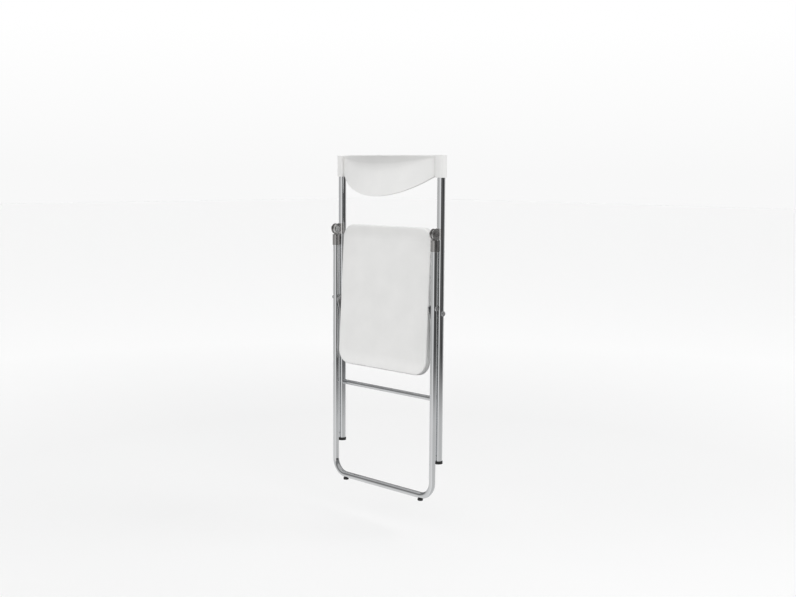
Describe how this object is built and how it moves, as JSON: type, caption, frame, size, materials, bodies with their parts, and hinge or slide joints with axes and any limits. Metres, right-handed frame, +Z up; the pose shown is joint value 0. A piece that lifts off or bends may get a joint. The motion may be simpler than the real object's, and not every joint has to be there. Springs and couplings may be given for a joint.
{
  "type": "folding chair",
  "caption": "Slim folding chair on chromed tube legs, hung folded by its white plastic backrest, with the seat and rear legs lying flat against the uprights.",
  "frame": {"origin": "midway between the two uprights, on their axes' plane, level with the undersides of the backrest's sleeves, where the folded chair hangs", "axes": "+Z up along the uprights, +Y the way a sitter faces, +X to the sitter's right"},
  "size_m": [0.4286, 0.0776, 0.972],
  "materials": {
    "chrome_tube": "polished chrome plating",
    "white_plastic": "satin white moulding",
    "cast_metal": "polished grey casting",
    "black_rubber": "matt black",
    "zinc_steel": "bright zinc plating",
    "dark_nylon": "matt dark nylon"
  },
  "bodies": {
    "frame": {"back_shell": "white_plastic", "front_brace": "chrome_tube", "back_screw_left": "zinc_steel", "back_screw_right": "zinc_steel", "upright_left": "chrome_tube", "upright_right": "chrome_tube", "foot_left": "black_rubber", "foot_right": "black_rubber", "foot_rivet_left": "zinc_steel", "foot_rivet_right": "zinc_steel", "hinge_bracket_left": "cast_metal", "hinge_bracket_right": "cast_metal", "hinge_bolt_left": "zinc_steel", "hinge_bolt_right": "zinc_steel", "hinge_cap_left": "cast_metal", "hinge_cap_right": "cast_metal", "seat_bolt_left": "zinc_steel", "seat_bolt_right": "zinc_steel", "seat_nut_left": "zinc_steel", "seat_nut_right": "zinc_steel", "seat_spacer_left": "dark_nylon", "seat_spacer_right": "dark_nylon"},
    "rear_legs": {"rear_leg_frame": "chrome_tube", "hinge_knuckle_left": "cast_metal", "hinge_knuckle_right": "cast_metal", "rear_glide_left": "black_rubber", "rear_glide_right": "black_rubber", "leg_rivet_left": "zinc_steel", "leg_rivet_right": "zinc_steel", "link_washer_left": "dark_nylon", "link_washer_right": "dark_nylon"},
    "seat": {"seat_shell": "white_plastic", "seat_cross_bar_front": "zinc_steel", "seat_cross_bar_rear": "zinc_steel", "seat_rail_left": "zinc_steel", "seat_rail_right": "zinc_steel", "seat_rear_pin_left": "zinc_steel", "seat_rear_pin_right": "zinc_steel", "seat_screw_front_left": "zinc_steel", "seat_screw_front_right": "zinc_steel", "seat_screw_rear_left": "zinc_steel", "seat_screw_rear_right": "zinc_steel"},
    "link_left": {"fold_link_left": "zinc_steel", "link_pin_left": "zinc_steel"},
    "link_right": {"fold_link_right": "zinc_steel", "link_pin_right": "zinc_steel"}
  },
  "joints": [
    {"name": "fold", "type": "hinge", "parent": "frame", "child": "rear_legs", "pos_m": [0, -0.0245, -0.154], "axis": [-1, 0, 0], "range_deg": [0, 47.8]},
    {"name": "seat_turn", "type": "hinge", "parent": "frame", "child": "seat", "pos_m": [0, 0, -0.374], "axis": [-1, 0, 0], "range_deg": [0, 100.1]},
    {"name": "link_turn_left", "type": "hinge", "parent": "rear_legs", "child": "link_left", "pos_m": [-0.2, -0.0245, -0.359], "axis": [1, 0, 0], "range_deg": [0, 87.38]},
    {"name": "link_turn_right", "type": "hinge", "parent": "rear_legs", "child": "link_right", "pos_m": [0.2, -0.0245, -0.359], "axis": [1, 0, 0], "range_deg": [0, 87.38]}
  ],
  "couplings": [
    {"joint": "seat_turn", "follows": "fold", "ratio": 2.092},
    {"joint": "link_turn_left", "follows": "fold", "ratio": 1.8259},
    {"joint": "link_turn_right", "follows": "fold", "ratio": 1.8259}
  ]
}
